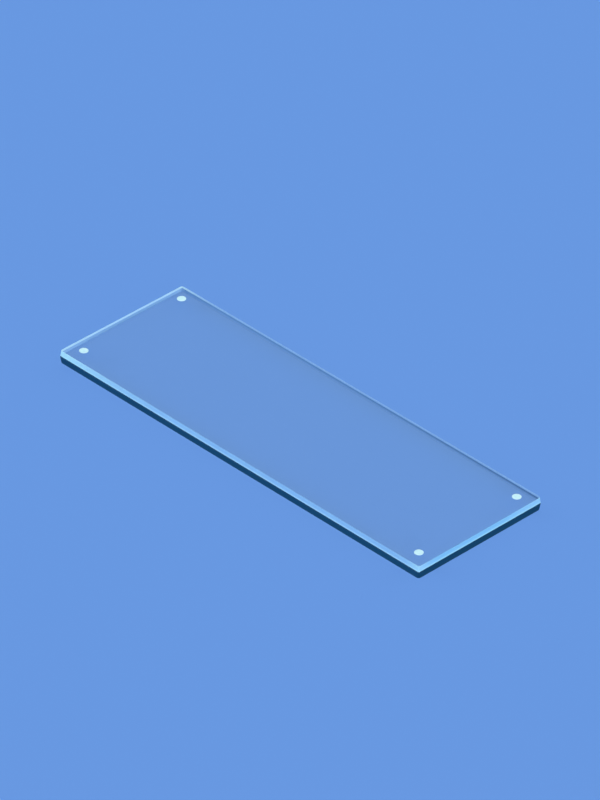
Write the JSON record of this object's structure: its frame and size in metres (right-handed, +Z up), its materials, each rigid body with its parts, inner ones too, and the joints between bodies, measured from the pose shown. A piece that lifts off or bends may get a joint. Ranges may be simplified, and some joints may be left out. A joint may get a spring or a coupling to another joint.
{
  "type": "microscope slide",
  "caption": "Clear rectangular glass plate with ground edges and small white corner dots, which carries a specimen under a microscope.",
  "frame": {"origin": "centre of the underside, the face that lies on the stage", "axes": "+X along the slide, +Y across it, +Z up through the glass towards the face with the dots"},
  "size_m": [0.075, 0.025, 0.0022],
  "materials": {
    "clear_glass": "polished faces, fine ground edges",
    "white_enamel": "fired white enamel, satin"
  },
  "bodies": {
    "root": {"glass_plate": "clear_glass", "dot_front_left": "white_enamel", "dot_front_right": "white_enamel", "dot_back_left": "white_enamel", "dot_back_right": "white_enamel"}
  },
  "joints": []
}
